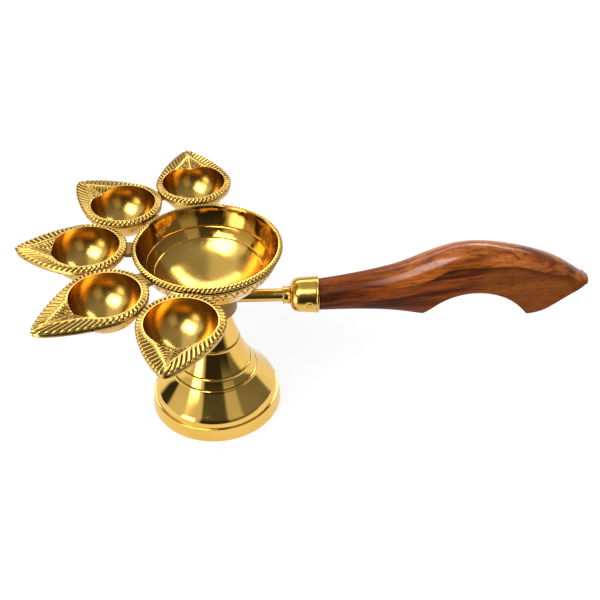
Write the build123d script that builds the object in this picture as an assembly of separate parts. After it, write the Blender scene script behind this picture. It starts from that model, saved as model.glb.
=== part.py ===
from build123d import *
import math
import os

# Aarti lamp. Millimetres, +Z up, origin on the table under the centre of the foot, +X along the handle.

# Shared levels and clearances
rim_height = 99.8            # table to the rim plane that the bowl and the leaf cups share
fit_gap = 0.1                # clearance between pieces that are brazed, driven or slid together

# Bowl
bowl_mouth_radius = 33.5
bowl_depth = 26.2
bowl_wall = 1.8
bowl_rim_width = 2.2         # from the mouth to the outside of the rope rim
bowl_rim_drop = 2.3          # height of the rope rim
bowl_groove_height = 1.3     # undercut between the rope rim and the frieze
bowl_groove_depth = 0.8
bowl_frieze_height = 6.4     # engraved band under the groove
bowl_frieze_proud = 0.3

# Leaf cups
leaf_count = 5
leaf_cup_radius = 15.9
leaf_wall = 1.3
leaf_border = 3.5            # width of the rope border at the heel
leaf_side_radius = 150.0     # the nearly straight sides that run to the tip
leaf_tip_reach = 34.3        # centre of the cup to the tip
leaf_rope_height = 1.5
leaf_rope_round = 0.9        # rounding of the rope border's outer edge
leaf_rope_overhang = 0.4     # the rope stands out past the plain side wall
leaf_plate_thickness = 3.9
leaf_pad_reach = 26.5        # centre of the cup to the far point of the pad, a chiselled valley
leaf_pad_half_width = 7.0    # where the valley opens into the cup
leaf_pad_sink = 2.2          # depth of the valley's middle line at the cup
leaf_pad_overrun = 1.1       # the chisel's cut runs on into the cup by a tenth
leaf_gap = 0.56              # between neighbouring leaves
leaf_bowl_gap = 1.9          # between a leaf's heel and the bowl's rim

# Webs that tie the leaves together
bowl_web_width = 9.0
side_web_width = 6.0

# Hub
hub_radius = 12.9
hub_roof = 0.45              # brass between the rod and the bowl's lowest point
hub_floor = 3.65             # brass between the rod and the foot
hub_edge_round = 0.8

# Foot
foot_radius = 34.3
foot_band_height = 7.6       # plain side of the flange
foot_band_lean = 1.4         # the flange is narrower at its top edge
foot_step = 0.7              # small step between the flange and the shoulder
foot_shoulder_radius = 31.0
foot_shoulder_height = 11.9
foot_rings = ((21.6, 23.8), (18.7, 29.1), (13.3, 42.9))    # radius and height of the scribed rings
foot_neck_radius = 8.4
foot_wall = 2.4
foot_ledge = 3.0             # width of the ring that the lamp stands on
foot_crown = 4.2             # thickness of the bell's top, which the screw clamps

# Screw and washer inside the foot
screw_radius = 2.5
screw_grip = 7.0             # length of the screw in the hub
screw_head_radius = 4.6
screw_head_height = 3.4
screw_slot_width = 1.2
screw_slot_depth = 1.4
washer_radius = 5.6
washer_thickness = 1.0

# Rod and collar
rod_radius = 3.25
rod_socket = 8.2             # depth of the hub's socket
rod_reach = 22.6             # free length from the hub to the collar
collar_radius = 4.65
collar_length = 3.9
collar_round = 0.6
tang_radius = 2.5
tang_tip_radius = 1.6
tang_length = 46.0

# Ferrule and its pins
ferrule_radius = 9.3
ferrule_length = 13.9
ferrule_neck_radius = 5.7    # where the dome starts at the collar
ferrule_dome_length = 5.2
ferrule_dome_radius = 8.7    # where the dome ends
ferrule_dome_swell = 1.1     # how far the dome bulges past a straight cone
ferrule_shoulder = 2.6       # thickness of the end that the rod passes
ferrule_lip = 1.3            # length of the rolled lip at the wood
ferrule_lip_round = 0.5
pin_radius = 0.9
pin_length = 4.6
pin_setback = 5.0            # from the ferrule's open end

# Wooden handle
grip_end_radius = 7.8        # round end of the wood against the ferrule
tenon_radius = 7.5           # reduced end of the wood inside the ferrule
grip_length = 135.0          # ferrule to the end of the grip
arch_radius = 31.0           # finger arch on the underside
arch_centre = 77.6           # ferrule to the top of the arch
arch_top = 5.5               # top of the arch above the handle's axis
tail_start = 106.3           # ferrule to the second point, where the tail begins
tail_drop = 9.2              # second point below the handle's axis
tail_slope = 30.0            # degrees
end_round = 4.7              # how far the end of the grip swells past its flanks
flank_half_width = 8.7       # sawn flats below the ridge
flank_start = 54.0
# Sections at equal steps along the grip, after the round end: underside and top measured from the
# axis, half width, and how square the lower half is (1 is round).
grip_sections = (
    (-6.9, 10.2, 8.1, 0.93),
    (-6.6, 13.2, 8.7, 0.80),
    (-7.2, 17.4, 9.1, 0.65),
    (-8.4, 23.8, 9.4, 0.52),
    (-9.0, 28.4, 9.4, 0.48),
    (-9.1, 28.9, 9.4, 0.46),
    (-9.2, 26.8, 9.4, 0.46),
    (-9.3, 23.0, 9.4, 0.46),
    (-9.4, 17.4, 9.4, 0.46),
    (-9.5, 9.2, 9.4, 0.46),
)
ridge_line = ((56.0, 16.0), (60.0, 18.6), (68.0, 20.8), (82.0, 21.2), (96.0, 20.7), (106.0, 17.9))
ridge_end_height = 11.6      # the ridge line meets the end of the grip this far above the axis
section_points = 28

# Levels and reaches that follow from the sizes above
bowl_inner_sphere = (bowl_mouth_radius**2 + bowl_depth**2) / (2 * bowl_depth)
bowl_outer_sphere = bowl_inner_sphere + bowl_wall
bowl_sphere_height = rim_height - bowl_depth + bowl_inner_sphere
bowl_base = rim_height - bowl_depth - bowl_wall
bowl_rim_radius = bowl_mouth_radius + bowl_rim_width
axis_height = bowl_base - hub_roof - rod_radius
hub_bottom = axis_height - rod_radius - hub_floor
leaf_heel_radius = leaf_cup_radius + leaf_border
leaf_centre_radius = bowl_rim_radius + leaf_bowl_gap + leaf_heel_radius
leaf_spacing = 2 * math.degrees(math.asin((leaf_heel_radius + leaf_gap / 2) / leaf_centre_radius))
collar_start = hub_radius + rod_reach
ferrule_start = collar_start + collar_length
grip_start = ferrule_start + ferrule_length
washer_top = hub_bottom - foot_crown
reach = 4 * (leaf_centre_radius + grip_length)    # longer than the lamp, for cutting tools


def ball(radius, height):
    """Solid ball on the lamp's vertical axis."""
    return Pos(0, 0, height) * Sphere(radius)


def on_handle_axis(shape):
    """Lays a shape turned about Z along the handle's axis, with its Z running along +X."""
    return Pos(0, 0, axis_height) * Rot(0, 90, 0) * shape


def turned(points):
    """Solid turned about Z from a closed run of straight edges given as radius and height."""
    return revolve(make_face(Plane.XZ * Polyline(*points, close=True)), Axis.Z)


def outer_bowl_radius(drop):
    """Radius of the bowl's plain outside at a depth below the rim."""
    return math.sqrt(bowl_outer_sphere**2 - (bowl_sphere_height - rim_height + drop)**2)


def make_bowl():
    """Spherical bowl with a half-round rope rim, an undercut groove and a raised frieze band."""
    groove_top = bowl_rim_drop
    frieze_top = groove_top + bowl_groove_height
    frieze_bottom = frieze_top + bowl_frieze_height
    groove_radius = outer_bowl_radius((groove_top + frieze_top) / 2) - bowl_groove_depth
    half_drop = bowl_rim_drop / 2
    frieze_middle = (frieze_top + frieze_bottom) / 2
    outside = [
        Line((bowl_mouth_radius, 0), (bowl_rim_radius - half_drop, 0)),
        ThreePointArc((bowl_rim_radius - half_drop, 0), (bowl_rim_radius, -half_drop),
                      (bowl_rim_radius - half_drop, -bowl_rim_drop)),
        Polyline((bowl_rim_radius - half_drop, -bowl_rim_drop), (groove_radius, -groove_top),
                 (groove_radius, -frieze_top), (outer_bowl_radius(frieze_top) + bowl_frieze_proud, -frieze_top)),
        ThreePointArc((outer_bowl_radius(frieze_top) + bowl_frieze_proud, -frieze_top),
                      (outer_bowl_radius(frieze_middle) + bowl_frieze_proud, -frieze_middle),
                      (outer_bowl_radius(frieze_bottom) + bowl_frieze_proud, -frieze_bottom)),
        Line((outer_bowl_radius(frieze_bottom) + bowl_frieze_proud, -frieze_bottom),
             (outer_bowl_radius(frieze_bottom), -frieze_bottom)),
        RadiusArc((outer_bowl_radius(frieze_bottom), -frieze_bottom), (0, -bowl_depth - bowl_wall),
                  bowl_outer_sphere),
    ]
    inside = [
        Line((0, -bowl_depth - bowl_wall), (0, -bowl_depth)),
        RadiusArc((0, -bowl_depth), (bowl_mouth_radius, 0), -bowl_inner_sphere),
    ]
    return Pos(0, 0, rim_height) * revolve(make_face(Plane.XZ * Curve(children=outside + inside)), Axis.Z)


def leaf_outline(inset):
    """Leaf face in plan, tip along +X: a round heel and two side arcs that run tangent from it to the tip."""
    offset = leaf_side_radius - leaf_heel_radius
    turn = math.acos((2 * leaf_side_radius * leaf_heel_radius - leaf_heel_radius**2 - leaf_tip_reach**2)
                     / (2 * leaf_tip_reach * offset))
    centre_x = -offset * math.cos(turn)
    centre_y = -offset * math.sin(turn)
    side = leaf_side_radius - inset
    heel = leaf_heel_radius - inset
    tip = centre_x + math.sqrt(side**2 - centre_y**2)
    middle = (turn + math.atan2(-centre_y, tip - centre_x)) / 2
    join = (heel * math.cos(turn), heel * math.sin(turn))
    bulge = (centre_x + side * math.cos(middle), centre_y + side * math.sin(middle))
    edges = [
        ThreePointArc((tip, 0), bulge, join),
        ThreePointArc(join, (-heel, 0), (join[0], -join[1])),
        ThreePointArc((join[0], -join[1]), (bulge[0], -bulge[1]), (tip, 0)),
    ]
    return make_face(edges)


def leaf_location(number):
    """Where a leaf's cup centre lies, with its local +X pointing away from the bowl."""
    angle = 180 + (number - (leaf_count - 1) / 2) * leaf_spacing
    return Pos(0, 0, rim_height) * Rot(0, 0, angle) * Pos(leaf_centre_radius, 0, 0)


def pad_cutter():
    """Three-sided pyramid that cuts the pad: a valley that falls from its far point to the edge of the cup."""
    far = Vector(leaf_pad_reach, 0, 0)
    corner_reach = math.sqrt(leaf_cup_radius**2 - leaf_pad_half_width**2)
    middle_reach = math.sqrt(leaf_cup_radius**2 - leaf_pad_sink**2)
    corners = [far + (Vector(corner_reach, side * leaf_pad_half_width, 0) - far) * leaf_pad_overrun
               for side in (-1, 1)]
    middle = far + (Vector(middle_reach, 0, -leaf_pad_sink) - far) * leaf_pad_overrun
    return loft([make_face(Polyline(far, *corners, close=True)), Vertex(*middle)], ruled=True)


def make_leaf_cup():
    """One leaf cup about its own cup centre, its rim plane at height zero."""
    rope = extrude(leaf_outline(0), -leaf_rope_height)
    rope = fillet(rope.edges().group_by(Axis.Z)[-1], leaf_rope_round)
    wall = Pos(0, 0, -leaf_rope_height) * extrude(leaf_outline(leaf_rope_overhang),
                                                  leaf_rope_height - leaf_plate_thickness)
    below = Pos(0, 0, -leaf_rope_height) * Box(reach, reach, reach, align=(Align.CENTER, Align.CENTER, Align.MAX))
    shell = Sphere(leaf_cup_radius + leaf_wall) & below
    return rope + wall + shell - Sphere(leaf_cup_radius) - pad_cutter()


def make_bowl_web(number):
    """Short web under the rims, from the bowl's outside to the heel of one leaf."""
    top = -leaf_rope_height - fit_gap
    long = leaf_bowl_gap + bowl_wall + leaf_border + bowl_rim_width
    middle = leaf_centre_radius - leaf_heel_radius - leaf_bowl_gap / 2
    bar = extrude(Pos(middle, 0, top) * Rectangle(long, bowl_web_width), -leaf_plate_thickness - top)
    heel = extrude(Pos(leaf_centre_radius, 0) * Circle(leaf_heel_radius - leaf_rope_overhang + fit_gap), -reach)
    bowl = ball(bowl_outer_sphere + bowl_frieze_proud + fit_gap, bowl_sphere_height - rim_height)
    rim = extrude(Circle(bowl_rim_radius + fit_gap), -bowl_rim_drop - fit_gap)
    angle = 180 + (number - (leaf_count - 1) / 2) * leaf_spacing
    return Pos(0, 0, rim_height) * Rot(0, 0, angle) * (bar - heel - bowl - rim)


def make_side_web(number):
    """Short web under the rope borders, between one leaf and the next."""
    top = -leaf_rope_height - fit_gap
    long = leaf_gap + 2 * leaf_border
    half_turn = math.radians(leaf_spacing / 2)
    middle = leaf_centre_radius * math.cos(half_turn)
    half_chord = leaf_centre_radius * math.sin(half_turn)
    bar = extrude(Pos(middle, 0, top) * Rectangle(side_web_width, long), -leaf_plate_thickness - top)
    heel = Circle(leaf_heel_radius - leaf_rope_overhang + fit_gap)
    heels = extrude(Sketch() + [Pos(middle, side * half_chord) * heel for side in (-1, 1)], -reach)
    angle = 180 + (number + 0.5 - (leaf_count - 1) / 2) * leaf_spacing
    return Pos(0, 0, rim_height) * Rot(0, 0, angle) * (bar - heels)


def make_hub():
    """Round boss with a spherical seat for the bowl, a socket for the rod and a hole for the foot's screw."""
    post = Pos(0, 0, hub_bottom) * Cylinder(hub_radius, bowl_sphere_height - hub_bottom,
                                            align=(Align.CENTER, Align.CENTER, Align.MIN))
    post = fillet(post.edges().group_by(Axis.Z)[0], hub_edge_round)
    socket = on_handle_axis(Pos(0, 0, hub_radius - rod_socket)
                            * Cylinder(rod_radius + fit_gap, reach, align=(Align.CENTER, Align.CENTER, Align.MIN)))
    thread = Pos(0, 0, hub_bottom) * Cylinder(screw_radius + fit_gap, 2 * (screw_grip + fit_gap))
    return post - ball(bowl_outer_sphere + fit_gap, bowl_sphere_height) - socket - thread


def bell_curve(inset, drop):
    """Flared side of the bell from the shoulder up to the neck, moved inwards and down."""
    points = [(foot_shoulder_radius - inset, foot_shoulder_height - drop)]
    points += [(radius - inset, height - drop) for radius, height in foot_rings]
    points += [(foot_neck_radius - inset, hub_bottom - fit_gap - drop)]
    return Spline(*points)


def make_foot():
    """Hollow bell with a leaning flange, a rounded shoulder and a flared side that narrows to the neck."""
    band_top = foot_radius - foot_band_lean
    step = band_top - foot_step
    shoulder_bulge = ((step + foot_shoulder_radius) / 2 + foot_step / 2,
                      (foot_band_height + foot_shoulder_height) / 2)
    top = hub_bottom - fit_gap
    outer = [
        Line((0, 0), (foot_radius, 0)),
        Polyline((foot_radius, 0), (band_top, foot_band_height), (step, foot_band_height)),
        ThreePointArc((step, foot_band_height), shoulder_bulge, (foot_shoulder_radius, foot_shoulder_height)),
        bell_curve(0, 0),
        Polyline((foot_neck_radius, top), (0, top), (0, 0)),
    ]
    body = revolve(make_face(Plane.XZ * Curve(children=outer)), Axis.Z)
    mouth = foot_radius - foot_ledge
    ceiling = top - foot_crown
    inner = [
        Polyline((0, 0), (mouth, 0), (foot_shoulder_radius - foot_wall, foot_shoulder_height - foot_wall)),
        bell_curve(foot_wall, foot_wall),
        Polyline((foot_neck_radius - foot_wall, top - foot_wall), (0, top - foot_wall), (0, 0)),
    ]
    hollow = revolve(make_face(Plane.XZ * Curve(children=inner)), Axis.Z)
    below_crown = Pos(0, 0, ceiling) * Box(reach, reach, reach, align=(Align.CENTER, Align.CENTER, Align.MAX))
    screw_hole = Pos(0, 0, top) * Cylinder(screw_radius + fit_gap, 2 * (foot_crown + fit_gap))
    return body - (hollow & below_crown) - screw_hole


def make_foot_washer():
    """Flat washer against the underside of the bell's crown."""
    return Pos(0, 0, washer_top - fit_gap - washer_thickness) * extrude(
        Circle(washer_radius) - Circle(screw_radius + fit_gap), washer_thickness)


def make_foot_screw():
    """Slotted machine screw from inside the bell up into the hub."""
    seat = washer_top - fit_gap - washer_thickness
    shank = Pos(0, 0, seat) * Cylinder(screw_radius, hub_bottom + screw_grip - seat,
                                       align=(Align.CENTER, Align.CENTER, Align.MIN))
    head = Pos(0, 0, seat) * Cylinder(screw_head_radius, screw_head_height,
                                      align=(Align.CENTER, Align.CENTER, Align.MAX))
    slot = Pos(0, 0, seat - screw_head_height) * Box(2 * screw_head_radius, screw_slot_width, 2 * screw_slot_depth)
    return shank + head - slot


def make_handle_rod():
    """Round rod from the hub's socket through collar and ferrule, ending in a tapered tang."""
    start = hub_radius - rod_socket + fit_gap
    shoulder = ferrule_start + ferrule_shoulder
    end = shoulder + tang_length
    return on_handle_axis(turned([(0, start), (rod_radius, start), (rod_radius, shoulder),
                                  (tang_radius, shoulder), (tang_tip_radius, end), (0, end)]))


def make_rod_collar():
    """Rounded ring on the rod against the ferrule's dome."""
    ring = extrude(Circle(collar_radius), collar_length - fit_gap)
    ring = fillet(ring.edges(), collar_round)
    return on_handle_axis(Pos(0, 0, collar_start) * (ring - Cylinder(rod_radius + fit_gap, reach)))


def pin_directions():
    """The pins lie level, one on each side of the handle."""
    return [Pos(grip_start - pin_setback, 0, axis_height) * Rot(90 * side, 0, 0) for side in (1, -1)]


def pin_holes():
    """Holes for the pins through the ferrule and into the wood."""
    foot_of_pin = ferrule_radius - pin_length - fit_gap
    hole = Pos(0, 0, foot_of_pin) * Cylinder(pin_radius + fit_gap, reach, align=(Align.CENTER, Align.CENTER, Align.MIN))
    return Part() + [place * hole for place in pin_directions()]


def ferrule_profile():
    """Half section of the ferrule: dome, leaning side, rolled lip and a bore for the wood."""
    bore = tenon_radius + fit_gap
    lip_start = ferrule_length - ferrule_lip
    edges = [
        Polyline((ferrule_dome_radius, ferrule_dome_length), (ferrule_radius, lip_start)),
        ThreePointArc((ferrule_radius, lip_start), (ferrule_radius, lip_start + ferrule_lip / 2),
                      (ferrule_radius - ferrule_lip_round, ferrule_length)),
        Polyline((ferrule_radius - ferrule_lip_round, ferrule_length), (bore, ferrule_length),
                 (bore, ferrule_shoulder), (rod_radius + fit_gap, ferrule_shoulder), (rod_radius + fit_gap, 0),
                 (ferrule_neck_radius, 0)),
        SagittaArc((ferrule_neck_radius, 0), (ferrule_dome_radius, ferrule_dome_length), -ferrule_dome_swell),
    ]
    return make_face(Plane.XZ * Curve(children=edges))


def make_ferrule():
    """Domed cup that the rod passes and that holds the round end of the grip."""
    return on_handle_axis(Pos(0, 0, ferrule_start) * revolve(ferrule_profile(), Axis.Z)) - pin_holes()


def make_ferrule_pins():
    """Two brads driven level through the ferrule into the wood, their heads flush with it."""
    flush = on_handle_axis(Cylinder(ferrule_radius - fit_gap, reach))
    pin = Pos(0, 0, ferrule_radius - pin_length) * Cylinder(pin_radius, pin_length,
                                                           align=(Align.CENTER, Align.CENTER, Align.MIN))
    return Compound(children=[(place * pin) & flush for place in pin_directions()])


def grip_section(station, underside, top, half_width, squareness):
    """Closed section across the grip: an elliptical ridge above, and below it sides that can be nearly square."""
    middle = top - min(half_width, (top - underside) / 2)
    points = []
    for step in range(section_points):
        angle = 2 * math.pi * step / section_points
        across = math.cos(angle)
        upright = math.sin(angle)
        power = squareness if upright < 0 else 1
        height = (middle - underside) if upright < 0 else (top - middle)
        y = half_width * math.copysign(abs(across) ** power, across)
        z = middle + height * math.copysign(abs(upright) ** power, upright)
        points.append((grip_start + station, y, axis_height + z))
    return Wire(Spline(*points, periodic=True))


def grip_body():
    """Loft through equally spaced sections, from the round end at the ferrule to the tail."""
    rows = [(-grip_end_radius, grip_end_radius, grip_end_radius, 1.0), *grip_sections]
    step = grip_length / len(grip_sections)
    return Solid.make_loft([grip_section(number * step, *row) for number, row in enumerate(rows)])


def end_cutter():
    """What lies past the end of the grip, which is rounded in plan."""
    half_width = grip_sections[-1][2]
    end = grip_start + grip_length
    outline = [
        ThreePointArc((end - end_round, -half_width), (end, 0), (end - end_round, half_width)),
        Polyline((end - end_round, half_width), (end - end_round, reach), (end + reach, reach),
                 (end + reach, -reach), (end - end_round, -reach), (end - end_round, -half_width)),
    ]
    return extrude(make_face(outline), reach, both=True)


def flank_cutters():
    """What lies outside the sawn flats, below the ridge line, on both sides."""
    end = grip_start + grip_length + end_round
    ridge = [(grip_start + x, axis_height + z) for x, z in ridge_line]
    ridge += [(end, axis_height + ridge_end_height)]
    face = make_face([Spline(*ridge),
                      Polyline(ridge[-1], (end, 0), (grip_start + flank_start, 0), ridge[0])])
    return [Pos(0, side * flank_half_width, 0) * extrude(Plane.XZ * face, -side * reach) for side in (-1, 1)]


def make_wooden_handle():
    """Carved grip: round at the ferrule, swelling to a ridge, sawn flat on its flanks, with a finger arch and a tail."""
    tenon_start = ferrule_start + ferrule_shoulder + fit_gap
    tenon = on_handle_axis(Pos(0, 0, tenon_start)
                           * Cylinder(tenon_radius, grip_start + tenon_radius - tenon_start,
                                      align=(Align.CENTER, Align.CENTER, Align.MIN)))
    arch = Pos(grip_start + arch_centre, 0, axis_height + arch_top - arch_radius) * Rot(90, 0, 0) * Cylinder(
        arch_radius, reach)
    tail = (Pos(grip_start + tail_start, 0, axis_height - tail_drop) * Rot(0, -tail_slope, 0)
            * Box(reach, reach, reach, align=(Align.MIN, Align.CENTER, Align.MAX)))
    shoulder = ferrule_start + ferrule_shoulder
    tang_end = shoulder + tang_length + fit_gap
    tang_bore = on_handle_axis(turned([
        (0, ferrule_start), (tang_radius + fit_gap, ferrule_start), (tang_radius + fit_gap, shoulder),
        (tang_tip_radius + fit_gap, tang_end), (0, tang_end)]))
    blank = tenon + grip_body() - tang_bore - pin_holes()
    return blank - arch - tail - end_cutter() - flank_cutters()


os.makedirs("parts", exist_ok=True)

pieces = {
    "bowl": make_bowl(),
    "hub": make_hub(),
    "foot": make_foot(),
    "foot_washer": make_foot_washer(),
    "foot_screw": make_foot_screw(),
    "handle_rod": make_handle_rod(),
    "rod_collar": make_rod_collar(),
    "ferrule": make_ferrule(),
    "ferrule_pins": make_ferrule_pins(),
    "wooden_handle": make_wooden_handle(),
}
leaf_cup = make_leaf_cup()
for number in range(leaf_count):
    pieces[f"leaf_cup_{number + 1}"] = leaf_location(number) * leaf_cup
    pieces[f"bowl_web_{number + 1}"] = make_bowl_web(number)
for number in range(leaf_count - 1):
    pieces[f"side_web_{number + 1}"] = make_side_web(number)

for name, shape in pieces.items():
    export_step(shape, f"parts/{name}.step")
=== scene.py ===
import math
import bpy
import numpy as np
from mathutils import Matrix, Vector


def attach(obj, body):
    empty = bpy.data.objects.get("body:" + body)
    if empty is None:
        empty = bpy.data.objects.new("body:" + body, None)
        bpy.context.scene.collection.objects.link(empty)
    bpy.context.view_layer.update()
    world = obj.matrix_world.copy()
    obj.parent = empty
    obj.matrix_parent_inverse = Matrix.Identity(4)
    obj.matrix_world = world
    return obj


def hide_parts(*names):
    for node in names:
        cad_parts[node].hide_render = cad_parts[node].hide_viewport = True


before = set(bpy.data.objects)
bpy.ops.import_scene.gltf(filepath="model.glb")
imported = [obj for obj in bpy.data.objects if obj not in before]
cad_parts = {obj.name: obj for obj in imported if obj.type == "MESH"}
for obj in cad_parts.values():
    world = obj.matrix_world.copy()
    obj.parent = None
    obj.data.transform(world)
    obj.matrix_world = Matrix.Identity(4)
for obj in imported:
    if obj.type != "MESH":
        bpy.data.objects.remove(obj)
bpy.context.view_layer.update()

MM = 0.001
TURN = 2 * math.pi

# Sizes in millimetres, as in the part's source, but for the leaf's sides and pad, which are fuller here
RIM = 99.8
FIT_GAP = 0.1
MOUTH = 33.5
BOWL_DEPTH = 26.2
BOWL_WALL = 1.8
RIM_WIDTH = 2.2
FRIEZE_HEIGHT = 6.4
FRIEZE_PROUD = 0.3
CUP = 15.9
CUP_WALL = 1.3
BORDER = 3.5
SIDE = 62.0
TIP = 34.3
PLATE = 3.9
PAD_REACH = 27.6
PAD_HALF = 8.2
PAD_SINK = 2.2
LEAF_GAP = 0.56
LEAF_BOWL_GAP = 1.9
HUB = 12.9
HUB_ROOF = 0.45
HUB_FLOOR = 3.65
FOOT_NECK = 8.4
FOOT_RINGS = ((21.6, 23.8), (18.7, 29.1), (13.3, 42.9))
FOOT_SHOULDER = (31.0, 11.9)
FOOT_WALL = 2.4
FOOT_CROWN = 4.2
SCREW = 2.5
ROD = 3.25
ROD_SOCKET = 8.2
ROD_REACH = 22.6
TANG = 2.5
TANG_TIP = 1.6
TANG_LENGTH = 46
COLLAR_LENGTH = 3.9
FERRULE_LENGTH = 13.9
FERRULE_SHOULDER = 2.6
PIN_SETBACK = 5.0
TENON = 7.5
GRIP_LENGTH = 135.0
GRIP_HALF = 9.4
FLAT_HALF = 8.7
ARCH_RADIUS = 31.0
ARCH_PLACE = 77.6
ARCH_TOP = 5.5
TAIL_START = 106.3
TAIL_DROP = 9.2
TAIL_SLOPE = 30
END_ROUND = 4.7

# Sizes that only the surfaces here have: how far the grip's end is rounded over and how much shorter it is
NOSE_ROUND = 0.9
END_SHORT = 1.4

# Radii and places that follow from the sizes above
BOWL_IN = (MOUTH**2 + BOWL_DEPTH**2) / (2 * BOWL_DEPTH)
BOWL_OUT = BOWL_IN + BOWL_WALL
BOWL_MIDDLE = RIM - BOWL_DEPTH + BOWL_IN
RIM_RADIUS = MOUTH + RIM_WIDTH
HEEL = CUP + BORDER
LEAF_CENTRE = RIM_RADIUS + LEAF_BOWL_GAP + HEEL
LEAF_STEP = 2 * math.asin((HEEL + LEAF_GAP / 2) / LEAF_CENTRE)
AXIS = RIM - BOWL_DEPTH - BOWL_WALL - HUB_ROOF - ROD
HUB_BOTTOM = AXIS - ROD - HUB_FLOOR
COLLAR = HUB + ROD_REACH
FERRULE = COLLAR + COLLAR_LENGTH
GRIP = FERRULE + FERRULE_LENGTH
ROD_HOLE = ROD + FIT_GAP
ROD_START = HUB - ROD_SOCKET + FIT_GAP
SCREW_HOLE = SCREW + FIT_GAP


def smooth(low, high, value):
    """Soft step: 0 at low, 1 at high and a cubic ease between them; low may be the larger."""
    share = np.clip((value - low) / (high - low), 0, 1)
    return share * share * (3 - 2 * share)


def run_of(curve):
    """Distance along a curve from its first point to each of its points."""
    return np.concatenate([[0], np.cumsum(np.linalg.norm(np.diff(curve, axis=0), axis=1))])


def spline(points, count):
    """Natural cubic spline through a few points, by chord length: the second derivatives solve one banded
    system."""
    knots = np.asarray(points, float)
    chord = run_of(knots)
    gap = np.diff(chord)
    system = np.eye(len(knots))
    right = np.zeros_like(knots)
    inner = np.arange(1, len(knots) - 1)
    system[inner, inner - 1] = gap[:-1]
    system[inner, inner] = 2 * (gap[:-1] + gap[1:])
    system[inner, inner + 1] = gap[1:]
    right[inner] = 6 * np.diff(np.diff(knots, axis=0) / gap[:, None], axis=0)
    bend = np.linalg.solve(system, right)
    place = np.linspace(0, chord[-1], count)
    cell = np.clip(np.searchsorted(chord, place) - 1, 0, len(gap) - 1)
    after = (place - chord[cell])[:, None]
    before = (chord[cell + 1] - place)[:, None]
    width = gap[cell][:, None]
    return ((bend[cell] * before**3 + bend[cell + 1] * after**3) / (6 * width)
            + (knots[cell] / width - bend[cell] * width / 6) * before
            + (knots[cell + 1] / width - bend[cell + 1] * width / 6) * after)


def eased(points, radius, steps=5):
    """Polyline with each inner corner replaced by a quadratic curve that starts and ends radius from the
    corner, or at 0.45 of a short side."""
    points = np.asarray(points, float)
    corner = points[1:-1]
    back = points[:-2] - corner
    on = points[2:] - corner
    back_length = np.linalg.norm(back, axis=1, keepdims=True)
    on_length = np.linalg.norm(on, axis=1, keepdims=True)
    start = corner + back * np.minimum(radius / back_length, 0.45)
    end = corner + on * np.minimum(radius / on_length, 0.45)
    share = np.linspace(0, 1, steps)[None, :, None]
    curve = ((1 - share)**2 * start[:, None] + 2 * share * (1 - share) * corner[:, None]
             + share**2 * end[:, None])
    return np.concatenate([points[:1], curve.reshape(-1, points.shape[1]), points[-1:]])


def finely(curve, step):
    """Points at even small steps along a curve."""
    run = run_of(curve)
    place = np.linspace(0, run[-1], max(2, int(run[-1] / step)))
    return np.stack([np.interp(place, run, column) for column in curve.T], 1)


def turned(profile, columns):
    """Points of a profile of radius and height carried round the upright axis."""
    round_angle = TURN * np.arange(columns) / columns
    radius, height = profile[:, :1], profile[:, 1:]
    return np.stack([radius * np.cos(round_angle), radius * np.sin(round_angle),
                     np.broadcast_to(height, (len(profile), columns))], -1)


def laid(points):
    """Turns a shape made round the upright axis so that the axis lies along the handle, at the handle's
    height."""
    return np.stack([points[..., 2], points[..., 1], AXIS - points[..., 0]], -1)


def piece(name, points, finish, slot, node, ends="poles", sharp=40, **marks):
    """Mesh of a grid of points: rows by columns, columns joined round. Ends are poles, or the rows join round
    too. Faces are turned outwards by the sign of the enclosed volume. Marks are per-point numbers for the
    finish."""
    rows, columns = points.shape[:2]
    index = np.arange(rows * columns).reshape(rows, columns)
    if ends == "poles":
        index[0] = 0
        index[-1] = index[-1, 0]
    else:
        index = np.concatenate([index, index[:1]])
    used, packed = np.unique(index, return_inverse=True)
    index = packed.reshape(index.shape)
    spots = points.reshape(-1, 3)[used] * MM
    beside = np.roll(index, -1, axis=1)
    quads = np.stack([index[:-1], beside[:-1], beside[1:], index[1:]], -1)
    caps = np.zeros((0, 3), int)
    if ends == "poles":
        caps = np.concatenate([quads[0][:, [0, 2, 3]], quads[-1][:, [0, 1, 2]]])
        quads = quads[1:-1]
    quads = quads.reshape(-1, 4)
    corners = spots[np.concatenate([quads[:, [0, 1, 2]], quads[:, [0, 2, 3]], caps])]
    volume = np.einsum("ij,ij->", corners[:, 0], np.cross(corners[:, 1], corners[:, 2]))
    if volume < 0:
        quads = quads[:, ::-1]
        caps = caps[:, ::-1]
    mesh = bpy.data.meshes.new(name)
    mesh.vertices.add(len(spots))
    mesh.vertices.foreach_set("co", spots.astype(np.float32).ravel())
    loops = np.concatenate([quads.ravel(), caps.ravel()])
    starts = np.concatenate([4 * np.arange(len(quads)), 4 * len(quads) + 3 * np.arange(len(caps))])
    mesh.loops.add(len(loops))
    mesh.loops.foreach_set("vertex_index", loops.astype(np.int32))
    mesh.polygons.add(len(starts))
    mesh.polygons.foreach_set("loop_start", starts.astype(np.int32))
    mesh.update(calc_edges=True)
    mesh.shade_smooth()
    mesh.set_sharp_from_angle(angle=math.radians(sharp))
    for mark, values in marks.items():
        held = np.broadcast_to(values, (rows, columns)).reshape(-1)[used]
        mesh.attributes.new(mark, "FLOAT", "POINT").data.foreach_set("value", held.astype(np.float32))
    made = bpy.data.objects.new(name, mesh)
    bpy.context.scene.collection.objects.link(made)
    mesh.materials.append(finish)
    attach(made, "root")
    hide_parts(node)


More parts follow.
